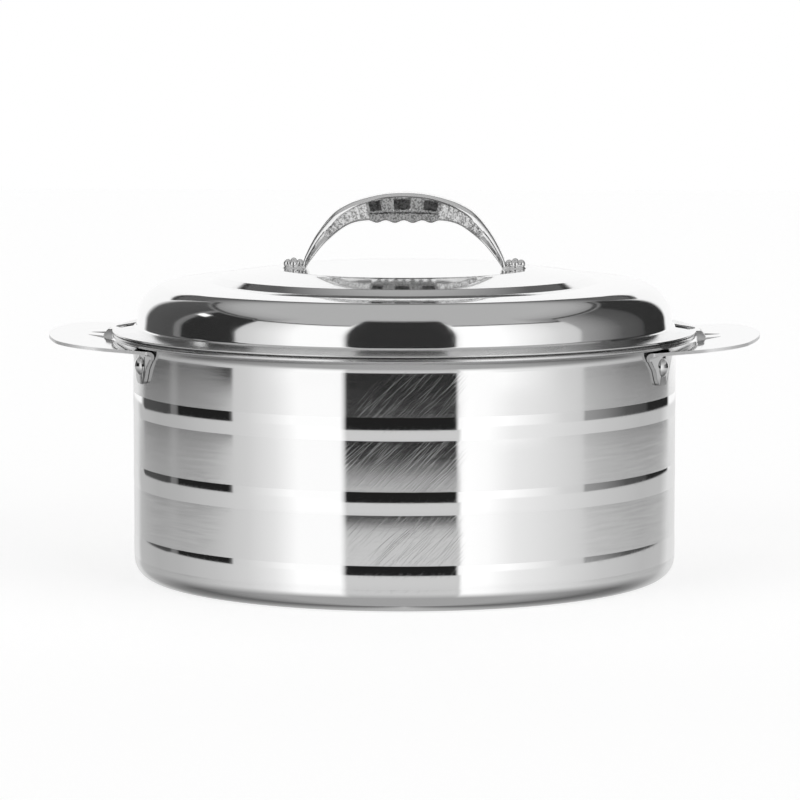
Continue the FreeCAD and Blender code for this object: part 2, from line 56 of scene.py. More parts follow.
EDGE_SEGMENTS = 4         # segments of the rounding of a cast or sheared edge
LEAST_BEND = 0.02         # inside radius of a bend that is tighter than the sheet is thick
WELD = 2e-6               # points nearer than this, in metres, are one
SPECK = 1e-7              # and edges shorter than this are none

# pot
WALL = 124.9              # radius of the wall
FOOT_RING = 101.0         # inner radius of the ring that the pot stands on
BASE_RISE = 1.2           # the base inside the ring stands this far off the table
BASE_STEP = 2.0           # width of the step between them
STEP_BEND = 1.5
BASE_CORNER = 9.0
PLUG_HOLE = 10.05         # radius of the holes in the base and in the lid's liner
BANDS = [(10.7, 21.1), (43.3, 53.6), (75.9, 86.2)]
BAND_CROWN = 0.14         # how far a polished band bulges
BAND_STEPS = 11
WALL_TOP = 105.3
PANEL_FLARE = 0.1         # a panel leans out by these degrees at its lower end
PANEL_CLOSE = 0.6         # and turns in by these towards its upper end
CLOSE_POWER = 3.5         # the larger, the later it turns in
PANEL_STEPS = 20
SEAT = 113.0              # underside of the lid's flange
LID_GAP = 0.3             # between the rim and the lid's flange
RIM_TOP = SEAT - LID_GAP
RIM_RADIUS = 134.1
NECK_CORNER = 5.0
SHELL_REACH = 133.0       # the shell's flange ends here, inside the bowl's hem
HEM_END = 130.6
HEM_BEND = 1.2
BOWL_RADIUS = 111.0
BOWL_FLOOR = 13.0
BOWL_CORNER = 12.0
MOUTH_CORNER = 3.0

# lid
LID_MIDDLE = 141.85       # top of the flat middle
COVER = [
    (0, LID_MIDDLE, 0), (57.2, LID_MIDDLE, 8),            # flat middle
    (59.2, 142.05, 3), (61.4, 141.55, 8),                 # raised ring round it
    (84.4, 138.6, 1.8), (89.8, 136.05, 1.8),              # step
    (100, 135.9, 40), (112, 134.75, 6),                   # crest
    (122, 131.2, 16.2), (123.4, 115.9, 1.2),              # shoulder and wall
    (134.5, 114, 0),                                      # edge of the flange
]
FLANGE_START = 124.2
NOTCH_START = 124.6       # the notches in the flange begin this far from the axis
NOTCH_HALF = 9.0
LINER_RADIUS = 109.0
LINER_BOTTOM = 103.0
LINER_CORNER = 6.0
LINER_BEND = 3.0
LINER_REACH = 130.9
LID_FOAM = [
    (13.2, 103.9, 0), (108, 103.9, 5.2), (108, 114, 3.4),              # inside the liner
    (121.4, 114, 1), (120.8, 130.1, 15), (112, 133.4, 6),              # inside the lid's shoulder
    (100, 134.6, 0), (89.5, 134.7, 3), (83.5, 137.2, 3), (70, 138.4, 0),
    (13.2, 138.4, 0),                                                  # below the rivets' tails
]

# rivets
HEAD_RIM = 0.35           # height of a rivet head's upright rim
HEAD_STEPS = 12
HEAD_FACETS = 40
SIDE_HEAD = (4.25, 2.2)   # radius and height
SIDE_RIVET_Z = 100.63
LEG_AZIMUTH = 21.0        # the side handles' legs stand these degrees either side of X
LEG_FACE = 126.6          # a leg's outer face from the axis
RIVET_X = 51.0            # the lid's rivets stand this far from its middle
ROSETTE_DISC = (4.7, 1.5)
PETALS = 6
PETAL_RING = 3.2          # the petals' middles from the rivet's axis
PETAL_RADIUS = 1.9
PETAL_RISE = 0.7          # over the pad
EYE_RADIUS = 1.6
EYE_RISE = 1.8            # over the pad
BALL_FACETS = (20, 12)


# ---- meshes ----
def finished(mesh, name, body, materials, nodes, sharp=30):
    """Links a bmesh as one piece that rides on a body and stands for CAD nodes."""
    data = bpy.data.meshes.new(name)
    mesh.to_mesh(data)
    mesh.free()
    data.shade_smooth()
    data.set_sharp_from_angle(angle=math.radians(sharp))
    for material in materials:
        data.materials.append(material)
    piece = bpy.data.objects.new(name, data)
    bpy.context.scene.collection.objects.link(piece)
    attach(piece, body)
    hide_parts(*nodes)
    return piece


def unit(start, end):
    length = math.dist(start[:2], end[:2])
    return ((end[0] - start[0]) / length, (end[1] - start[1]) / length)


def sheet_profile(corners, side):
    """Corners of both surfaces of a bent sheet, the second on the left (1) or right (-1)."""
    runs = [unit(start, end) for start, end in zip(corners, corners[1:])]
    second = []
    for (x, z, radius), before, after in zip(corners, runs[:1] + runs, runs + runs[-1:]):
        shift = side * SHEET / (1 + before[0] * after[0] + before[1] * after[1])
        turn = before[0] * after[1] - before[1] * after[0]
        bend = max(radius - side * math.copysign(SHEET, turn), LEAST_BEND) if radius else 0
        second.append((x - (before[1] + after[1]) * shift, z + (before[0] + after[0]) * shift, bend))
    return corners + second[::-1]


def profile(mesh, corners, closed):
    """Edges through the corners in the XZ plane, each corner rounded."""
    points = [mesh.verts.new((x * MM, 0, z * MM)) for x, z, _ in corners]
    pairs = list(zip(points, points[1:]))
    if closed:
        pairs.append((points[-1], points[0]))
    for pair in pairs:
        mesh.edges.new(pair)
    around = [corners[-1]] + corners + [corners[0]]
    for point, before, corner, after in zip(points, around, corners, around[2:]):
        radius = corner[2]
        if radius:
            a, b = unit(before, corner), unit(corner, after)
            turn = abs(math.atan2(a[0] * b[1] - a[1] * b[0], a[0] * b[0] + a[1] * b[1]))
            segments = max(round(turn * BEND_SEGMENTS), round(radius * turn / BEND_STEP), 2)
            bmesh.ops.bevel(mesh, geom=[point], offset=radius * MM * math.tan(turn / 2),
                            offset_type="OFFSET", segments=min(segments, MOST_SEGMENTS), profile=0.5,
                            affect="VERTICES", material=-1, clamp_overlap=False)


def spin(mesh, steps):
    """Turns every edge of the mesh once round Z and closes seam and poles."""
    bmesh.ops.spin(mesh, geom=mesh.verts[:] + mesh.edges[:], cent=(0, 0, 0), axis=(0, 0, 1),
                   dvec=(0, 0, 0), angle=2 * math.pi, steps=steps, space=Matrix.Identity(4),
                   use_merge=True, use_normal_flip=False, use_duplicate=False)
    bmesh.ops.remove_doubles(mesh, verts=mesh.verts, dist=WELD)
    bmesh.ops.dissolve_degenerate(mesh, dist=SPECK, edges=mesh.edges)
    bmesh.ops.recalc_face_normals(mesh, faces=mesh.faces)


def pressed_sheet(corners, side):
    """A bent sheet turned round the axis; it is closed at the axis if it starts there."""
    corners = list(corners)
    at_axis = corners[0][0] == 0
    ring = sheet_profile(corners, side)
    last = len(corners) - 1
    ring[last] = (*ring[last][:2], CUT_EDGE)
    ring[last + 1] = (*ring[last + 1][:2], CUT_EDGE)
    mesh = bmesh.new()
    profile(mesh, ring, closed=not at_axis)
    spin(mesh, POT_STEPS)
    return mesh


def cut_notches(mesh):
    """Takes the two notches for the side handles' tongues out of a lid sheet's flange."""
    start, half = NOTCH_START * MM, NOTCH_HALF * MM
    for side in (-1, 1):
        for point, normal in (((side * start, 0, 0), (1, 0, 0)), ((0, half, 0), (0, 1, 0)),
                              ((0, -half, 0), (0, 1, 0))):
            bmesh.ops.bisect_plane(mesh, geom=mesh.verts[:] + mesh.edges[:] + mesh.faces[:],
                                   dist=SPECK, plane_co=point, plane_no=normal)
    inside = [face for face in mesh.faces if abs(face.calc_center_median().x) > start
              and abs(face.calc_center_median().y) < half]
    bmesh.ops.delete(mesh, geom=inside, context="FACES")
    for side in (-1, 1):
        close_notch(mesh, side * start, half)
    bmesh.ops.recalc_face_normals(mesh, faces=mesh.faces)


def close_notch(mesh, start, half):
    """Closes one notch with flat walls: one at its inner end and one at each side."""
    for y in (-half, half):
        corners = [vert for vert in mesh.verts if vert.is_boundary
                   and abs(vert.co.x - start) < WELD and abs(vert.co.y - y) < WELD]
        mesh.edges.new(corners)
    for axis, place in ((0, start), (1, half), (1, -half)):
        wall = [edge for edge in mesh.edges if len(edge.link_faces) < 2 and edge.verts[0].co.x * start > 0
                and all(abs(vert.co[axis] - place) < WELD for vert in edge.verts)]
        bmesh.ops.edgeloop_fill(mesh, edges=wall)


def join(mesh, other, place=Matrix.Identity(4)):
    """Adds a copy of another bmesh, moved to its place."""
    data = bpy.data.meshes.new("part")
    other.to_mesh(data)
    data.transform(place)
    mesh.from_mesh(data)
    bpy.data.meshes.remove(data)


# ---- materials ----
# features of the noises per metre along X, Y and Z
HAIRS = (90, 90, 2600)
HAIR_BUNDLES = (40, 40, 900)
WAVES = (30, 30, 30)
SMEARS = (400, 400, 400)
SCRATCHED_PATCHES = (25, 25, 25)
# levels of the noises between which what they draw comes in
BUNDLE_LEVELS = SMEAR_LEVELS = (0.3, 0.7)
SCRATCH_LEVELS = (0.58, 0.70)
PATCH_LEVELS = (0.45, 0.6)
# levels of the grain between which the painted shade in its hollows comes in
PIT_SHADE_LEVELS = (0.38, 0.56)
FAINT_SCRATCH = 0.15      # depth of the scratches outside the patches, as a share
BUNDLE_CHANGE = (0.8, 1.2)        # least and most of the roughness of brushed steel, as shares
SMEAR_CHANGE = (0.7, 1.3)         # and of polished steel
BRUSHED = 0.5             # how far brushing draws a reflection out
UP_AND_DOWN = 0.25        # of a turn, from the direction round the pot
SIDES = (0.068, 0.090)    # metres left or right of the middle where the side roughness comes in


def grey(level):
    return (level, level, level)


def coated(name, colour, metallic, roughness):
    material = bpy.data.materials.new(name)
    material.use_nodes = True
    shader = material.node_tree.nodes["Principled BSDF"]
    shader.inputs["Base Color"].default_value = (*colour, 1)
    shader.inputs["Metallic"].default_value = metallic
    shader.inputs["Roughness"].default_value = roughness
    return material


def math_node(tree, operation, *values):
    made = tree.nodes.new("ShaderNodeMath")
    made.operation = operation
    for socket, value in zip(made.inputs, values):
        if isinstance(value, (int, float)):
            socket.default_value = value
        else:
            tree.links.new(value, socket)
    return made.outputs[0]


def ranged(tree, value, low, high, bottom, top, smooth=False):
    """Runs from bottom, where the value is low, to top, where it is high."""
    made = tree.nodes.new("ShaderNodeMapRange")
    if smooth:
        made.interpolation_type = "SMOOTHSTEP"
    for name, number in (("From Min", low), ("From Max", high), ("To Min", bottom), ("To Max", top)):
        made.inputs[name].default_value = number
    tree.links.new(value, made.inputs["Value"])
    return made.outputs[0]


def object_axes(tree):
    """Where the surface is on the piece, as the outputs X, Y and Z."""
    place = tree.nodes.new("ShaderNodeTexCoord")
    axes = tree.nodes.new("ShaderNodeSeparateXYZ")
    tree.links.new(place.outputs["Object"], axes.inputs[0])
    return axes.outputs


def noise(tree, stretch, detail=2.0):
    """Noise on the piece, with so many features per metre along each axis."""
    place = tree.nodes.new("ShaderNodeTexCoord")
    mapping = tree.nodes.new("ShaderNodeMapping")
    mapping.inputs["Scale"].default_value = stretch
    tree.links.new(place.outputs["Object"], mapping.inputs["Vector"])
    return noise_at(tree, mapping.outputs[0], detail)


def noise_at(tree, vector, detail):
    texture = tree.nodes.new("ShaderNodeTexNoise")
    texture.inputs["Scale"].default_value = 1
    texture.inputs["Detail"].default_value = detail
    tree.links.new(vector, texture.inputs["Vector"])
    return texture.outputs[0]


def bumped(material, height, distance):
    """Raises the surface by distance where height is 1, over any bump that it has already."""
    tree = material.node_tree
    bump = tree.nodes.new("ShaderNodeBump")
    bump.inputs["Strength"].default_value = 1
    bump.inputs["Distance"].default_value = distance
    tree.links.new(height, bump.inputs["Height"])
    normal = tree.nodes["Principled BSDF"].inputs["Normal"]
    if normal.is_linked:
        tree.links.new(normal.links[0].from_socket, bump.inputs["Normal"])
    tree.links.new(bump.outputs[0], normal)


def scratched(material, slant, across, along, depth):
    """Adds scratches across wide and along long that climb round the pot at slant degrees."""
    tree = material.node_tree
    axes = object_axes(tree)
    back = math_node(tree, "MULTIPLY", axes["Y"], -1)
    turn = math_node(tree, "ARCTAN2", axes["X"], back)
    run = math_node(tree, "MULTIPLY", turn, WALL * MM)
    rise = axes["Z"]
    cos, sin = math.cos(math.radians(slant)), math.sin(math.radians(slant))
    lengthwise = math_node(tree, "ADD", math_node(tree, "MULTIPLY", run, cos / (along * MM)),
                           math_node(tree, "MULTIPLY", rise, sin / (along * MM)))
    crosswise = math_node(tree, "SUBTRACT", math_node(tree, "MULTIPLY", rise, cos / (across * MM)),
                          math_node(tree, "MULTIPLY", run, sin / (across * MM)))
    joined = tree.nodes.new("ShaderNodeCombineXYZ")
    tree.links.new(lengthwise, joined.inputs["X"])
    tree.links.new(crosswise, joined.inputs["Y"])
    lines = ranged(tree, noise_at(tree, joined.outputs[0], 1), *SCRATCH_LEVELS, 0, 1, smooth=True)
    patches = ranged(tree, noise(tree, SCRATCHED_PATCHES), *PATCH_LEVELS, FAINT_SCRATCH, 1)
    bumped(material, math_node(tree, "MULTIPLY", lines, patches), depth)


def brushed_steel(name, colour, metallic, roughness, side_roughness, hair):
    """Steel brushed round the pot, with another roughness towards its left and right."""
    material = coated(name, colour, metallic, roughness)
    tree = material.node_tree
    shader = tree.nodes["Principled BSDF"]
    shader.inputs["Anisotropic"].default_value = BRUSHED
    shader.inputs["Anisotropic Rotation"].default_value = UP_AND_DOWN
    tangent = tree.nodes.new("ShaderNodeTangent")
    tangent.direction_type = "RADIAL"
    tangent.axis = "Z"
    tree.links.new(tangent.outputs[0], shader.inputs["Tangent"])
    bumped(material, noise(tree, HAIRS, detail=3), hair)
    sideways = math_node(tree, "ABSOLUTE", object_axes(tree)["X"])
    base = ranged(tree, sideways, *SIDES, roughness, side_roughness, smooth=True)
    uneven = ranged(tree, noise(tree, HAIR_BUNDLES), *BUNDLE_LEVELS, *BUNDLE_CHANGE)
    tree.links.new(math_node(tree, "MULTIPLY", base, uneven), shader.inputs["Roughness"])
    return material


def polished_steel(name, colour, roughness, wave, metallic=1):
    """Polished steel, faintly wavy and smeared."""
    material = coated(name, colour, metallic, roughness)
    tree = material.node_tree
    bumped(material, noise(tree, WAVES, detail=1), wave)
    least, most = (roughness * change for change in SMEAR_CHANGE)
    smeared = ranged(tree, noise(tree, SMEARS), *SMEAR_LEVELS, least, most)
    tree.links.new(smeared, tree.nodes["Principled BSDF"].inputs["Roughness"])
    return material


def grained(name, colour, metallic, roughness, size, depth, pit_shade=0.0):
    """A finish with an even fine grain, with painted shade that darkens its colour where the grain is low,
    by the given share.
    """
    material = coated(name, colour, metallic, roughness)
    tree = material.node_tree
    grain = noise(tree, (1 / (size * MM),) * 3, detail=3)
    bumped(material, grain, depth * MM)
    # painted shade: the colour darkens in the grain's hollows
    if pit_shade:
        mix = tree.nodes.new("ShaderNodeMix")
        mix.data_type = "RGBA"
        tree.links.new(ranged(tree, grain, *PIT_SHADE_LEVELS, 0, 1, smooth=True), mix.inputs["Factor"])
        mix.inputs["A"].default_value = (*(part * (1 - pit_shade) for part in colour), 1)
        mix.inputs["B"].default_value = (*colour, 1)
        tree.links.new(mix.outputs["Result"], tree.nodes["Principled BSDF"].inputs["Base Color"])
    return material


panel_steel = brushed_steel("brushed_panel_steel", grey(0.90), metallic=0.97, roughness=0.05,
                            side_roughness=0.14, hair=0.4 * MICRON)
scratched(panel_steel, slant=50, across=0.45, along=28, depth=3 * MICRON)
scratched(panel_steel, slant=42, across=0.5, along=34, depth=3 * MICRON)
band_steel = polished_steel("polished_band_steel", grey(0.92), roughness=0.04, wave=2 * MICRON)
scratched(band_steel, slant=50, across=0.45, along=28, depth=1.5 * MICRON)
bowl_steel = brushed_steel("satin_bowl_steel", grey(0.82), metallic=0.95, roughness=0.28,
                           side_roughness=0.28, hair=3 * MICRON)
lid_steel = polished_steel("polished_lid_steel", grey(0.93), roughness=0.07, wave=4 * MICRON,
                           metallic=0.96)
flange_steel = brushed_steel("dull_flange_steel", grey(0.88), metallic=1, roughness=0.26,
                             side_roughness=0.2, hair=0.4 * MICRON)
handle_steel = polished_steel("polished_handle_steel", grey(0.88), roughness=0.08, wave=4 * MICRON)
sheared_steel = coated("sheared_edge_steel", grey(0.93), metallic=0.7, roughness=0.3)
rivet_steel = polished_steel("polished_rivet_steel", grey(0.86), roughness=0.10, wave=4 * MICRON)
chrome = polished_steel("polished_chrome", grey(0.97), roughness=0.08, wave=8 * MICRON, metallic=0.75)
# both these grains get painted shade in their hollows
grainy_chrome_pit_shade = grained("granular_chrome_pit_shade", grey(0.98), metallic=0.6, roughness=0.3, size=0.9,
                        depth=0.2, pit_shade=0.6)
# painted shade: a dark grey copy of the granular chrome, for the handle's sunk groove and windows
window_painted_shade = grained("window_chrome_painted_shade", grey(0.25), metallic=1, roughness=0.3, size=0.9,
                        depth=0.2, pit_shade=0.6)
foam_finish = grained("poured_foam", (0.85, 0.74, 0.45), metallic=0, roughness=0.85, size=1.5, depth=0.1)
plug_plastic = grained("white_plug_plastic", (0.75, 0.75, 0.73), metallic=0, roughness=0.45, size=0.8,
                       depth=0.02)


# ---- pot ----
def band_corners(start, low, high):
    """A polished band that bulges between the radius start and the wall's own."""
    for step in range(BAND_STEPS + 1):
        t = step / BAND_STEPS
        yield (start + (WALL - start) * t + 4 * BAND_CROWN * t * (1 - t), low + (high - low) * t, 0)


def panel_corners(low, high):
    """A brushed panel: nearly upright at its lower end, it turns in towards its upper end."""
    for step in range(1, PANEL_STEPS + 1):
        t = step / PANEL_STEPS
        turn = PANEL_FLARE * t - PANEL_CLOSE / CLOSE_POWER * t ** CLOSE_POWER
        yield (WALL + (high - low) * math.radians(turn), low + (high - low) * t, 0)


def wall_corners():
    corners = [(WALL, BANDS[0][0], 0)]
    for (low, high), (next_low, _) in zip(BANDS, BANDS[1:] + [(WALL_TOP, 0)]):
        start = corners.pop()[0]
        corners += band_corners(start, low, high)
        corners += panel_corners(high, next_low)
    return corners


def outer_shell():
    base = [(PLUG_HOLE, BASE_RISE, 0), (FOOT_RING - BASE_STEP, BASE_RISE, STEP_BEND),
            (FOOT_RING, 0, STEP_BEND), (WALL, 0, BASE_CORNER)]
    flange = RIM_TOP - 2 * SHEET
    neck = [(WALL, flange, NECK_CORNER), (SHELL_REACH, flange, 0)]
    mesh = pressed_sheet(base + wall_corners() + neck, 1)
    for face in mesh.faces:
        middle = face.calc_center_median() / MM
        outside = middle.xy.length > WALL - SHEET / 2
        if outside and any(low < middle.z < high for low, high in BANDS):
            face.material_index = 1
    piece = finished(mesh, "outer_shell_steel", "pot", [panel_steel, band_steel],
                     ["outer_shell"])
    ends = [height for band in BANDS for height in band]
    slack = 0.01
    for edge in piece.data.edges:
        heights = [piece.data.vertices[i].co.z / MM for i in edge.vertices]
        if any(max(abs(height - end) for height in heights) < slack for end in ends):
            edge.use_edge_sharp = True


def inner_bowl():
    hem = RIM_TOP - 3 * SHEET
    corners = [(0, BOWL_FLOOR, 0), (BOWL_RADIUS, BOWL_FLOOR, BOWL_CORNER),
               (BOWL_RADIUS, RIM_TOP, MOUTH_CORNER), (RIM_RADIUS, RIM_TOP, HEM_BEND),
               (RIM_RADIUS, hem, HEM_BEND), (HEM_END, hem, 0)]
    finished(pressed_sheet(corners, -1), "inner_bowl_steel", "pot", [bowl_steel],
             ["inner_bowl"])


# ---- lid ----
def lid_cover():
    mesh = pressed_sheet(COVER, -1)
    cut_notches(mesh)
    for face in mesh.faces:
        if face.calc_center_median().xy.length > FLANGE_START * MM:
            face.material_index = 1
    finished(mesh, "lid_cover_steel", "lid", [lid_steel, flange_steel], ["lid_shell"])


def lid_liner():
    corners = [(PLUG_HOLE, LINER_BOTTOM, 0), (LINER_RADIUS, LINER_BOTTOM, LINER_CORNER),
               (LINER_RADIUS, SEAT, LINER_BEND), (LINER_REACH, SEAT, 0)]
    mesh = pressed_sheet(corners, 1)
    cut_notches(mesh)
    finished(mesh, "lid_liner_steel", "lid", [bowl_steel], ["lid_liner"])


def lid_foam():
    mesh = bmesh.new()
    profile(mesh, LID_FOAM, closed=True)
    spin(mesh, FOAM_STEPS)
    finished(mesh, "lid_foam_fill", "lid", [foam_finish], ["lid_foam"])


# ---- rivets ----
def rivet_head(radius, height):
    """A domed head on z = 0 with a short upright rim."""
    crown = height - HEAD_RIM
    sphere = (radius ** 2 + crown ** 2) / (2 * crown)
    reach = math.asin(radius / sphere)
    corners = [(0, 0, 0), (radius, 0, 0)]
    for step in range(HEAD_STEPS):
        angle = reach * (1 - step / HEAD_STEPS)
        corners.append((sphere * math.sin(angle), height - sphere + sphere * math.cos(angle), 0))
    corners.append((0, height, 0))
    mesh = bmesh.new()
    profile(mesh, corners, closed=False)
    spin(mesh, HEAD_FACETS)
    return mesh


def side_rivets(name, turn):
    """The two rivets of one side handle, turned round the pot by turn degrees."""
    mesh = bmesh.new()
    head = rivet_head(*SIDE_HEAD)
    for side in (-1, 1):
        azimuth = math.radians(turn + side * LEG_AZIMUTH)
        place = Matrix.Rotation(azimuth, 4, "Z") @ Matrix.Translation((LEG_FACE * MM, 0, SIDE_RIVET_Z * MM))
        join(mesh, head, place @ Matrix.Rotation(math.pi / 2, 4, "Y"))
    head.free()
    finished(mesh, name + "_heads", "pot", [rivet_steel], [name])


def rosettes():
    """Two flower-shaped rivet heads on the lid handle's pads."""
    mesh = bmesh.new()
    for side in (-1, 1):
        base = Vector((side * RIVET_X, 0, LID_MIDDLE + PAD_THICK))
        disc = rivet_head(*ROSETTE_DISC)
        join(mesh, disc, Matrix.Translation(base * MM))
        disc.free()
        balls = [((0, 0, EYE_RISE), EYE_RADIUS)]
        for number in range(PETALS):
            angle = math.tau * (number + 0.5) / PETALS
            middle = (PETAL_RING * math.cos(angle), PETAL_RING * math.sin(angle), PETAL_RISE)
            balls.append((middle, PETAL_RADIUS))
        for middle, radius in balls:
            ball = bmesh.new()
            bmesh.ops.create_uvsphere(ball, u_segments=BALL_FACETS[0], v_segments=BALL_FACETS[1],
                                      radius=radius * MM)
            join(mesh, ball, Matrix.Translation((base + Vector(middle)) * MM))
            ball.free()
    finished(mesh, "lid_rosettes", "lid", [chrome], ["lid_rivets"])


# ---- lid handle: x from the middle, heights over the lid's middle ----
OUTSIDE = [(46.5, 2.1), (45.4, 5.9), (40.6, 15.2), (33.4, 24.6), (26.6, 29.2), (19.6, 31.9), (9.7, 34.2),
           (0, 34.85)]
INSIDE = [(45.2, 0), (43.2, 3.3), (36.9, 11.2), (29.0, 18.1), (23.2, 21.2), (16.6, 22.35), (8.3, 22.35),
          (0, 22.35)]
CURVE_STEPS = 20          # of the arch between two of these points
ARCH_HALF = 8.0           # half the arch's depth at its middle
FOOT_LOSS = 1.8           # and how much less it is at the rivets
LOSS_POWER = 3.17
FACE_ROWS = 28
CORNER_STEPS = 6
BUMP_PITCH = 8.3          # finger bumps under the grip
BUMP_DEPTH = 1.2
BUMP_END = 16.6           # the last one ends this far from the middle
GRIP_END = 18.0           # the grip's face ends here
LEAF_END = 38.5           # and the arms' leaf pattern here
LEAF_PITCH = 4.1
LEAF_DEPTH = 0.9
LEAF_SINK = 0.2           # the leaves' tips lie this deep
LEAF_FADE = 4.0           # the leaves fade out over this length
LEAF_FLOOR = 0.1          # and begin at this share of the arch's height
GROOVE = (0.24, 0.32)     # shares of the height between which the groove under the windows runs
WINDOWS = [(-13.7, 3.0), (-0.6, 3.9), (13.1, 3.3)]    # middle and half width of the dark windows
WINDOW_ROWS = (0.38, 0.79)        # shares of the height at their lower and upper ends
BUMP_SINK, GROOVE_SINK, WINDOW_SINK, GRIP_SINK = 0.05, 1.0, 1.1, 0.3    # depths below the long sides
FACE_LEAN = 0.6           # the grainy face lies this much deeper at its lower end
TOP_START = 28            # over the grip the top's rounding begins at this angle, with a crease
TOP_START_LEAST = 0.1     # share of that angle at the feet
TOP_ROUND = 2.4           # rounding of the top's long edges at the middle
TOP_GROWTH = 0.8          # it grows by this much over the length TOP_GROWN
TOP_GROWN = 30
TOP_SHARE = 0.42          # most of the arch's thickness that it takes
UNDER_ROUND = 0.7         # rounding of the under side's long edges
UNDER_SHARE = 0.18
RIDGE = 1.8               # height of the ridge down the front of each arm's lower end
RIDGE_START = 33.0        # it starts here and is full at the end of the leaves
RIDGE_LINE = 0.45         # share of the arch's height where it runs
RIDGE_FALL = 0.75         # it falls off no further than this share
SMOOTH, GRAINY, PAINTED_SHADE = 0, 1, 2    # finishes of the arch, and a dark grey painted as shade in the groove and the windows
PAD_THICK = 1.3
PAD_WIDTH = 10.6
PAD_NECK = 45.2           # a pad's neck starts under the arch, this far from the middle
PAD_WRAP = 130            # its disc ends these degrees round from the outermost point
PAD_STEPS = 16
PAD_TOP_SHARE = 0.78      # its top is smaller than its base
PAD_EDGE = 0.5


def smooth_line(points, count):
    """Smooth curve through the points, count steps between two of them."""
    before = tuple(2 * a - b for a, b in zip(points[0], points[1]))
    after = (-points[-2][0], points[-2][1])
    row = [before] + points + [after]
    curve = []
    for p0, p1, p2, p3 in zip(row, row[1:], row[2:], row[3:]):
        for step in range(count):
            t = step / count
            curve.append(tuple(0.5 * (2 * b + (c - a) * t + (2 * a - 5 * b + 4 * c - d) * t ** 2
                                      + (3 * b - a - 3 * c + d) * t ** 3)
                               for a, b, c, d in zip(p0, p1, p2, p3)))
    return curve + [points[-1]]


def ridge_depth(x, v):
    """How far the ridge down an arm's front falls off at the share v of its height."""
    full = min(max(abs(x) - RIDGE_START, 0) / (LEAF_END - RIDGE_START), 1)
    return RIDGE * full * min(abs(2 * v - 2 * RIDGE_LINE), RIDGE_FALL)


def relief(x, v):
    """How deep the arch's face lies at x and at the share v of its height, and its finish, which in the
    groove and the windows is a dark grey painted as shade.
    """
    reach = abs(x)
    lean = FACE_LEAN * (1 - v)
    if reach < GRIP_END:
        if v < GROOVE[0]:
            return BUMP_SINK + lean, GRAINY
        # the groove and the windows get the dark grey that is painted shade
        if v < GROOVE[1]:
            return GROOVE_SINK, PAINTED_SHADE
        in_window = any(abs(x - middle) < half for middle, half in WINDOWS)
        if in_window and WINDOW_ROWS[0] < v < WINDOW_ROWS[1]:
            return WINDOW_SINK, PAINTED_SHADE
        return GRIP_SINK + lean, GRAINY
    if reach < LEAF_END and v > LEAF_FLOOR:
        leaf = 1 - abs(1 - 2 * ((reach - GRIP_END) / LEAF_PITCH % 1))
        left = min((LEAF_END - reach) / LEAF_FADE, 1)
        return (LEAF_SINK + LEAF_DEPTH * (1 - leaf) + lean / 2) * left + ridge_depth(x, v), GRAINY
    return ridge_depth(x, v), SMOOTH


def rounding(height, width, radius, start, end):
    """Points round a middle from the angle start to the angle end, as (height, width, finish)."""
    for step in range(1, CORNER_STEPS + 1):
        angle = math.radians(start + (end - start) * step / CORNER_STEPS)
        yield (height + radius * math.sin(angle), width + radius * math.cos(angle), SMOOTH)


def arch_section(x, thick, bump):
    """Half of the arch's section from its under side to its top, as (height, width, finish); in the groove
    and the windows the finish is painted shade.
    """
    half = ARCH_HALF - FOOT_LOSS * (abs(x) / RIVET_X) ** LOSS_POWER
    top = min(TOP_ROUND + TOP_GROWTH * min(abs(x) / TOP_GROWN, 1), TOP_SHARE * thick)
    under = min(UNDER_ROUND, UNDER_SHARE * thick)
    start = TOP_START * max(1 - abs(x) / LEAF_END, TOP_START_LEAST)
    face_top = thick - top + top * math.sin(math.radians(start))
    low = half - ridge_depth(x, under / thick)
    high = half - ridge_depth(x, 1 - top / thick)
    side = [(0, low - under, SMOOTH)]
    side += rounding(under, low - under, under, -90, 0)
    for row in range(1, FACE_ROWS):
        height = under + (face_top - under) * row / FACE_ROWS
        depth, finish = relief(x, (height - bump) / (thick - bump))
        side.append((height, half - depth, finish))
    side.append((face_top, high - top + top * math.cos(math.radians(start)), SMOOTH))
    side += rounding(thick - top, high - top, top, start, 90)
    return side


def arch():
    """The cast arch: sections across it, bridged from foot to foot."""
    outer, inner = smooth_line(OUTSIDE, CURVE_STEPS), smooth_line(INSIDE, CURVE_STEPS)
    outer += [(-x, z) for x, z in reversed(outer[:-1])]
    inner += [(-x, z) for x, z in reversed(inner[:-1])]
    mesh = bmesh.new()
    loops, finishes_and_shade = [], []
    for (ox, oz), (ix, iz) in zip(outer, inner):
        bump = 0
        if abs(ix) < BUMP_END:
            bump = BUMP_DEPTH * math.sin(math.pi * (ix + BUMP_END) / BUMP_PITCH) ** 2
            iz -= bump
        thick = math.hypot(ox - ix, oz - iz)
        up = ((ox - ix) / thick, (oz - iz) / thick)
        side = arch_section(ox, thick, bump)
        section = [(h, -y, finish) for h, y, finish in side] + side[::-1]
        loops.append([mesh.verts.new(((ix + up[0] * h) * MM, y * MM, (LID_MIDDLE + iz + up[1] * h) * MM))
                      for h, y, _ in section])
        finishes_and_shade.append([finish for _, _, finish in section])
    for number, (first, second) in enumerate(zip(loops, loops[1:])):
        for k in range(len(first)):
            n = (k + 1) % len(first)
            face = mesh.faces.new((first[k], first[n], second[n], second[k]))
            face.material_index = min(finishes_and_shade[number][k], finishes_and_shade[number][n])
    mesh.faces.new(loops[0])
    mesh.faces.new(loops[-1])
    bmesh.ops.recalc_face_normals(mesh, faces=mesh.faces)
    return mesh


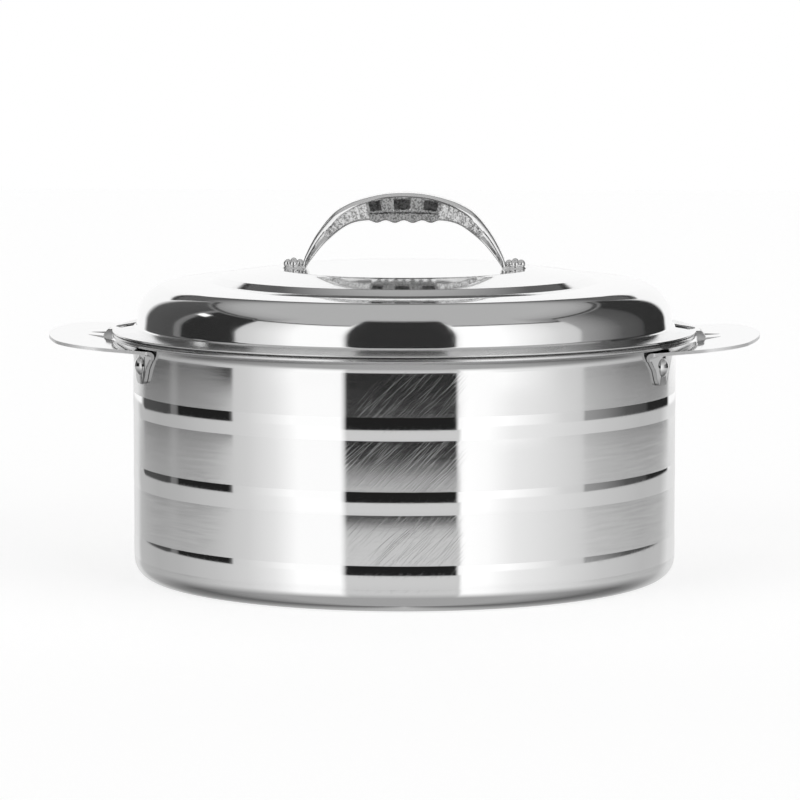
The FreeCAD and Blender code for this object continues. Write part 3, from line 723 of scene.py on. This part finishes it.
def foot_pad():
    """The foot pad on the +X side: a disc with a neck to the arch."""
    mesh = bmesh.new()
    radius = PAD_WIDTH / 2
    outline = []
    for step in range(2 * PAD_STEPS + 1):
        angle = math.radians(PAD_WRAP) * (step / PAD_STEPS - 1)
        outline.append((RIVET_X + radius * math.cos(angle), radius * math.sin(angle)))
    outline = [(PAD_NECK, outline[0][1])] + outline + [(PAD_NECK, outline[-1][1])]
    base = mesh.faces.new([mesh.verts.new((x * MM, y * MM, LID_MIDDLE * MM)) for x, y in outline])
    top = bmesh.ops.extrude_face_region(mesh, geom=[base])["geom"]
    moved = [item for item in top if isinstance(item, bmesh.types.BMVert)]
    bmesh.ops.translate(mesh, verts=moved, vec=(0, 0, PAD_THICK * MM))
    bmesh.ops.scale(mesh, verts=moved, vec=(PAD_TOP_SHARE, PAD_TOP_SHARE, 1),
                    space=Matrix.Translation((-RIVET_X * MM, 0, 0)))
    rim = [edge for edge in mesh.edges if all(vert in moved for vert in edge.verts)]
    bmesh.ops.bevel(mesh, geom=rim, offset=PAD_EDGE * MM, offset_type="OFFSET", segments=EDGE_SEGMENTS,
                    profile=0.5, affect="EDGES", material=-1)
    bmesh.ops.recalc_face_normals(mesh, faces=mesh.faces)
    return mesh


def lid_handle():
    mesh = arch()
    pad = foot_pad()
    join(mesh, pad)
    join(mesh, pad, Matrix.Rotation(math.pi, 4, "Z"))
    pad.free()
    # the third material is the dark grey painted as shade in the groove and the windows
    finished(mesh, "cast_lid_handle", "lid", [chrome, grainy_chrome_pit_shade, window_painted_shade],
             ["lid_handle"], sharp=38)


# ---- side handles ----
EDGE_FROM = 106.0         # upright faces above this height and
EDGE_RADIUS = 129.0       # this far from the axis are the plate's cut edges
UPRIGHT = 0.35            # a face is upright if its normal rises or falls by less than this
UNDERCUT = 0.12           # the cut edges stand back this much at their lower side
EDGE_ROUND = 0.65         # rounding of the plate's edges
ROUNDED_FROM = 40         # edges that turn by more than these degrees are rounded
FLAT_WITHIN = 0.5         # faces that turn by less than these degrees are one
LEG_TOP = 107.0           # a leg grows narrower below this height,
LEG_TAPER = 7.0           # over this length,
LEG_NARROWED = 0.25       # by this share
TONGUE_STEP = (131, 141)  # where the tongue steps up over the rim, from the axis
TONGUE_HALF = 7.0
TONGUE_FACE = 80.0        # square millimetres; the plate's own faces are larger


def undercut_edges(mesh):
    """Gives the plate's cut edges and its tongue their finish and lets the edges lean in."""
    moves = {}
    for face in mesh.faces:
        middle = face.calc_center_median() / MM
        if abs(face.normal.z) < UPRIGHT and middle.z > EDGE_FROM and middle.xy.length > EDGE_RADIUS:
            face.material_index = 1
            for vert in face.verts:
                if vert.co.z / MM < middle.z:
                    moves[vert] = face.normal * UNDERCUT * MM
        elif TONGUE_STEP[0] < abs(middle.x) < TONGUE_STEP[1] and abs(middle.y) < TONGUE_HALF:
            face.material_index = 1 if face.calc_area() < TONGUE_FACE * MM ** 2 else 0
    for vert, move in moves.items():
        vert.co -= move


def narrow_legs(mesh):
    for vert in mesh.verts:
        low = min(max((LEG_TOP - vert.co.z / MM) / LEG_TAPER, 0), 1)
        if low and vert.co.xy.length < EDGE_RADIUS * MM:
            azimuth = math.atan2(vert.co.y, abs(vert.co.x))
            middle = math.copysign(math.radians(LEG_AZIMUTH), azimuth)
            turn = (middle - azimuth) * LEG_NARROWED * low
            vert.co.rotate(Matrix.Rotation(turn if vert.co.x > 0 else -turn, 3, "Z"))


def side_handle(name):
    """The pressed handle with narrower legs and its cut edges rounded."""
    mesh = bmesh.new()
    mesh.from_mesh(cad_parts[name].data)
    bmesh.ops.remove_doubles(mesh, verts=mesh.verts, dist=WELD)
    bmesh.ops.dissolve_limit(mesh, angle_limit=math.radians(FLAT_WITHIN), use_dissolve_boundaries=False,
                             verts=mesh.verts, edges=mesh.edges)
    bmesh.ops.recalc_face_normals(mesh, faces=mesh.faces)
    undercut_edges(mesh)
    narrow_legs(mesh)
    piece = finished(mesh, name + "_plate", "pot", [handle_steel, sheared_steel], [name],
                     sharp=25)
    edges = piece.modifiers.new("rounded_edges", "BEVEL")
    edges.width = EDGE_ROUND * MM
    edges.segments = EDGE_SEGMENTS
    edges.limit_method = "ANGLE"
    edges.angle_limit = math.radians(ROUNDED_FROM)
    edges.harden_normals = False


# ---- pieces that are shown as the CAD has them ----
def give_finish(finish, *names):
    for name in names:
        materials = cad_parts[name].data.materials
        materials.clear()
        materials.append(finish)


outer_shell()
inner_bowl()
lid_cover()
lid_liner()
lid_foam()
lid_handle()
rosettes()
side_rivets("side_rivets_right", 0)
side_rivets("side_rivets_left", 180)
side_handle("side_handle_right")
side_handle("side_handle_left")
give_finish(foam_finish, "body_foam")
give_finish(plug_plastic, "base_plug", "lid_plug")
give_finish(rivet_steel, "side_washers_left", "side_washers_right", "lid_washers")


# ---- studio ----
TABLE_REACH = 3           # metres from the pot to the table's sides
TABLE_GLOW = 0.67         # brightness that the table adds where it is looked at directly
VIEW_TURN = 2             # the camera stands these degrees to the right of the pot's front
VIEW_DROP = 6.113         # and looks down by these
CAMERA_PLACE = (-0.00202, -2.0275, 0.2978)    # metres, before that turn
CAMERA_LENS = 198.6
FILM_WIDTH = 36
HALF_TURN = 180
QUARTER_TURN = 90
LAMP = (-110, 31)         # azimuth and elevation of a small lamp at the left
LAMP_LIGHT = 1.2
LAMP_SIDES = (3, 5)       # it fades between these degrees sideways
LAMP_ENDS = (1.5, 3)      # and between these upwards and downwards
BAR_FOOT = (0.7, 1.3)     # a dark bar over the cards comes in between these degrees over them
BAR_HEAD = (2.4, 3.0)     # and goes out between these
BAR_DARK = 0.8
CARD_BLUR = 0.7           # the cards' upper ends fade over these degrees either way
TABLE_BLUR = 0.25         # and the table's far side over these
TABLE_NEAR = (-12, -35)   # elevations between which the table turns from TABLE_TOP to TABLE_FOOT

# brightness of the studio at azimuths from the camera's direction, to the right positive
CARDS = [(-180, 1.0), (-149, 1.0), (-144, 0.08), (-117, 0.06), (-115.5, 0.18), (-111.5, 0.18),
         (-110, 0.015), (-77.5, 0.015), (-76.5, 0.62), (-69, 0.68), (-58, 0.85), (-48, 1.08),
         (-25.6, 1.08), (-24.8, 0.015), (21.1, 0.015), (22.4, 1.0), (25, 1.12), (42, 1.12),
         (59, 0.88), (70, 0.70), (80, 0.62), (81, 0.33), (92, 0.24), (107, 0.09), (123, 0.06),
         (124.5, 0.02), (148, 0.02), (151, 1.0), (180, 1.0)]
TABLE_TOP = [(-180, 0.8), (-156, 0.75), (-150, 0.5), (-128, 0.44), (-110, 0.47), (-98, 0.52),
             (-86, 0.57), (-69, 0.68), (-56, 0.85), (-45, 1.1), (-26, 1.1), (-24.5, 0.63),
             (22.6, 0.63), (24.1, 1.15), (35, 1.1), (47, 0.9), (59, 0.82), (75, 0.71), (92, 0.60),
             (120, 0.50), (139, 0.52), (150, 0.75), (180, 0.8)]
TABLE_FOOT = [(-180, 0.5), (-150, 0.25), (-118, 0.12), (-95, 0.25), (-60, 0.38), (60, 0.38), (95, 0.25),
              (118, 0.12), (150, 0.25), (180, 0.5)]
FRONT_CEILING = [(-180, 0), (-95, 0.1), (-80, 0.2), (-62, 0.45), (62, 0.45), (80, 0.2), (95, 0.1),
                 (180, 0)]
# brightness of the ceiling at elevations
CEILING = [(-90, 0.1), (36, 0.1), (41, 0.22), (49, 0.40), (56, 0.45), (90, 0.45)]
# elevations of the cards' upper ends, and how far below the horizon the table ends, at azimuths
CARD_TOPS = [(-180, 24), (-149, 24), (-146, 40), (-81, 40), (-80, 38), (-60, 39), (-26, 40.5),
             (-25, 57), (22, 57), (23, 41), (50, 39), (80, 33), (81, 40), (148, 40), (151, 24),
             (180, 24)]
TABLE_DROP = [(-180, 5.6), (-146, 5.6), (-143, 6.2), (-120, 6.2), (-116, 6.0), (-80, 5.9), (-31, 5.5),
              (-25, 7.25), (22, 7.25), (27, 5.9), (180, 5.9)]


def table():
    data = bpy.data.meshes.new("table")
    mesh = bmesh.new()
    sides = ((-1, -1), (1, -1), (1, 1), (-1, 1))
    mesh.faces.new([mesh.verts.new((x * TABLE_REACH, y * TABLE_REACH, 0)) for x, y in sides])
    mesh.to_mesh(data)
    mesh.free()
    floor = bpy.data.objects.new("table", data)
    bpy.context.scene.collection.objects.link(floor)
    material = coated("white_table", grey(0.82), metallic=0, roughness=0.9)
    tree = material.node_tree
    shader = tree.nodes["Principled BSDF"]
    shader.inputs["Specular IOR Level"].default_value = 0
    shader.inputs["Emission Color"].default_value = (1, 1, 1, 1)
    path = tree.nodes.new("ShaderNodeLightPath")
    glow = math_node(tree, "MULTIPLY", path.outputs["Is Camera Ray"], TABLE_GLOW)
    tree.links.new(glow, shader.inputs["Emission Strength"])
    data.materials.append(material)
    floor.visible_glossy = False


def ramp(tree, value, stops, reach, scale=1.0):
    """Straight lines through stops of (value, result), for values from -reach to reach."""
    place = ranged(tree, value, -reach, reach, 0, 1)
    made = tree.nodes.new("ShaderNodeValToRGB")
    elements = made.color_ramp.elements
    while len(elements) < len(stops):
        elements.new(0.5)
    for element, (at, result) in zip(elements, stops):
        element.position = (at + reach) / (2 * reach)
        element.color = (*grey(result * scale), 1)
    tree.links.new(place, made.inputs[0])
    return made.outputs[0]


def around(tree, azimuth, stops):
    return ramp(tree, azimuth, stops, HALF_TURN)


def degrees_around(tree, azimuth, stops, sign=1):
    """An angle that changes round the pot; the ramp itself holds shares of a quarter turn."""
    share = ramp(tree, azimuth, stops, HALF_TURN, 1 / QUARTER_TURN)
    return math_node(tree, "MULTIPLY", share, sign * QUARTER_TURN)


def mixed(tree, share, first, second):
    """first where share is 0 and second where it is 1."""
    keep = math_node(tree, "MULTIPLY", first, math_node(tree, "SUBTRACT", 1, share))
    return math_node(tree, "ADD", keep, math_node(tree, "MULTIPLY", second, share))


def apart(tree, value, middle):
    return math_node(tree, "ABSOLUTE", math_node(tree, "SUBTRACT", value, middle))


def studio():
    """The light round the pot: cards, a dark bar and a ceiling over them, a lamp and the table."""
    world = bpy.data.worlds.new("studio")
    bpy.context.scene.world = world
    world.use_nodes = True
    tree = world.node_tree
    place = tree.nodes.new("ShaderNodeTexCoord")
    ray = tree.nodes.new("ShaderNodeSeparateXYZ")
    tree.links.new(place.outputs["Generated"], ray.inputs[0])
    forward = math_node(tree, "MULTIPLY", ray.outputs["Y"], -1)
    angle = math_node(tree, "DEGREES", math_node(tree, "ARCTAN2", ray.outputs["X"], forward))
    azimuth = math_node(tree, "SUBTRACT", angle, VIEW_TURN)
    elevation = math_node(tree, "DEGREES", math_node(tree, "ARCSINE", ray.outputs["Z"]))

    over = math_node(tree, "SUBTRACT", elevation, degrees_around(tree, azimuth, CARD_TOPS))
    ceiling = math_node(tree, "MAXIMUM", ramp(tree, elevation, CEILING, QUARTER_TURN),
                        around(tree, azimuth, FRONT_CEILING))
    bar = math_node(tree, "MULTIPLY", ranged(tree, over, *BAR_FOOT, 0, BAR_DARK, smooth=True),
                    ranged(tree, over, *BAR_HEAD, 1, 0, smooth=True))
    ceiling = math_node(tree, "MULTIPLY", ceiling, math_node(tree, "SUBTRACT", 1, bar))
    above_cards = ranged(tree, over, -CARD_BLUR, CARD_BLUR, 0, 1, smooth=True)
    upper = mixed(tree, above_cards, around(tree, azimuth, CARDS), ceiling)
    lamp = math_node(tree, "MULTIPLY",
                     ranged(tree, apart(tree, azimuth, LAMP[0]), *LAMP_SIDES, LAMP_LIGHT, 0, smooth=True),
                     ranged(tree, apart(tree, elevation, LAMP[1]), *LAMP_ENDS, 1, 0, smooth=True))
    upper = math_node(tree, "MAXIMUM", upper, lamp)

    steep = ranged(tree, elevation, *TABLE_NEAR, 0, 1)
    table_light = mixed(tree, steep, around(tree, azimuth, TABLE_TOP), around(tree, azimuth, TABLE_FOOT))
    over_table = math_node(tree, "SUBTRACT", elevation, degrees_around(tree, azimuth, TABLE_DROP, -1))
    off_table = ranged(tree, over_table, -TABLE_BLUR, TABLE_BLUR, 0, 1, smooth=True)
    light = mixed(tree, off_table, table_light, upper)
    path = tree.nodes.new("ShaderNodeLightPath")
    tree.links.new(math_node(tree, "MAXIMUM", light, path.outputs["Is Camera Ray"]),
                   tree.nodes["Background"].inputs["Color"])


def camera():
    data = bpy.data.cameras.new("camera")
    data.lens = CAMERA_LENS
    data.sensor_width = FILM_WIDTH
    seen_from = bpy.data.objects.new("camera", data)
    turn = math.radians(VIEW_TURN)
    seen_from.location = Matrix.Rotation(turn, 3, "Z") @ Vector(CAMERA_PLACE)
    seen_from.rotation_euler = (math.radians(90 - VIEW_DROP), 0, turn)
    bpy.context.scene.collection.objects.link(seen_from)
    bpy.context.scene.camera = seen_from


table()
studio()
camera()
bpy.context.scene.view_settings.view_transform = "Standard"
